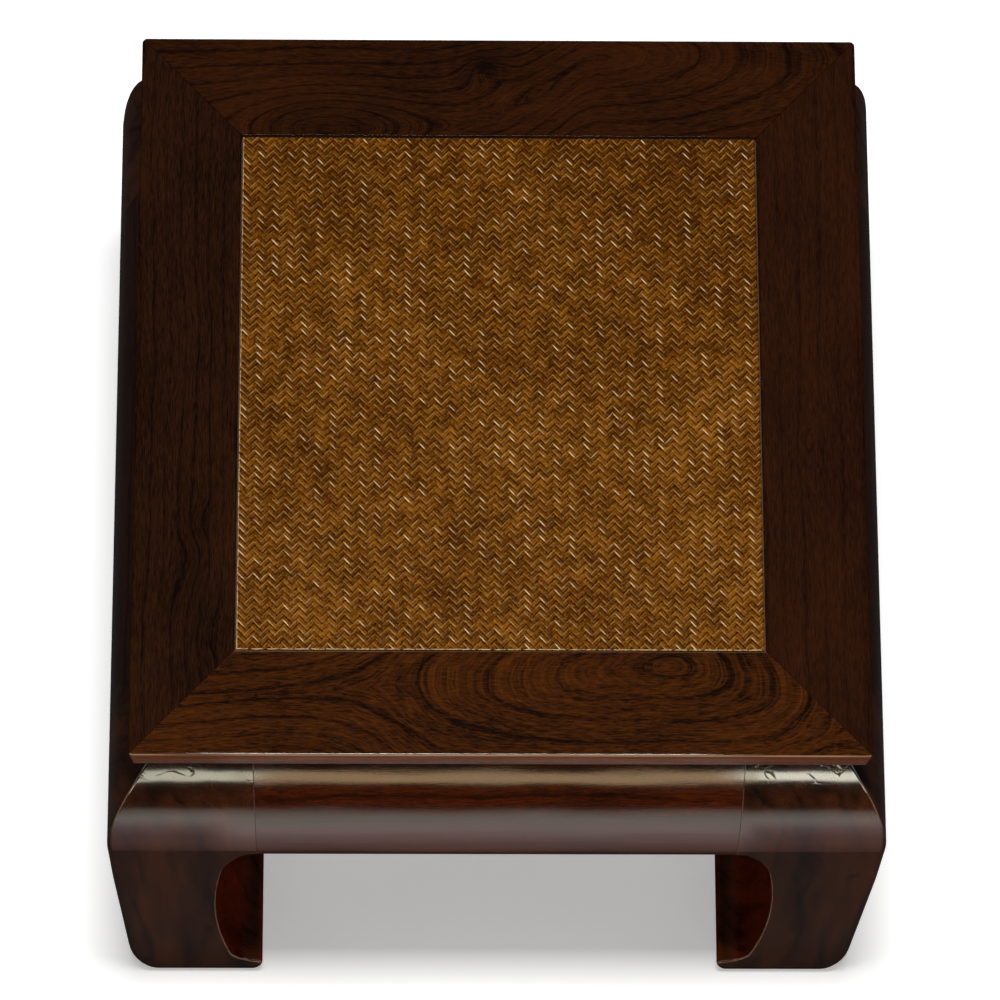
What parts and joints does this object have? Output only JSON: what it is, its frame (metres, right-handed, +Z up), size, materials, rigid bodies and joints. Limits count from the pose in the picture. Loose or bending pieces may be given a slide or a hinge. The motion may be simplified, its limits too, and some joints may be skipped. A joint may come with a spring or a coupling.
{
  "type": "lamp table",
  "caption": "Low waisted lamp table in dark wood: mitred top frame with a woven rattan panel, bulging aprons and drum legs whose feet curl inward.",
  "frame": {"origin": "on the floor, under the middle of the top", "axes": "+Z up, +X to the right and +Y to the back as seen from the front"},
  "size_m": [0.6068, 0.6338, 0.559],
  "materials": {
    "top_wood": "dark brown stained elm, glossy lacquer, figure along each rail",
    "apron_wood": "dark brown stained elm, glossy lacquer",
    "leg_wood": "dark brown stained elm, glossy lacquer, fine checks at the shoulders",
    "inner_wood": "plain sawn wood, unfinished",
    "pin_wood": "turned hardwood, unfinished",
    "rattan": "golden brown split cane, lacquered, woven in a herringbone twill",
    "screw_steel": "zinc plated steel"
  },
  "bodies": {
    "root": {"top_rail_front": "top_wood", "top_rail_back": "top_wood", "top_rail_left": "top_wood", "top_rail_right": "top_wood", "rattan_mat": "rattan", "mat_board": "inner_wood", "batten_left": "inner_wood", "batten_right": "inner_wood", "apron_front": "apron_wood", "apron_back": "apron_wood", "apron_left": "apron_wood", "apron_right": "apron_wood", "waist_front": "apron_wood", "waist_back": "apron_wood", "waist_left": "apron_wood", "waist_right": "apron_wood", "leg_front_left": "leg_wood", "leg_front_right": "leg_wood", "leg_back_left": "leg_wood", "leg_back_right": "leg_wood", "corner_brace_front_left": "inner_wood", "corner_brace_front_right": "inner_wood", "corner_brace_back_left": "inner_wood", "corner_brace_back_right": "inner_wood", "brace_screws": "screw_steel", "top_screws": "screw_steel", "mitre_pins": "pin_wood"}
  },
  "joints": []
}
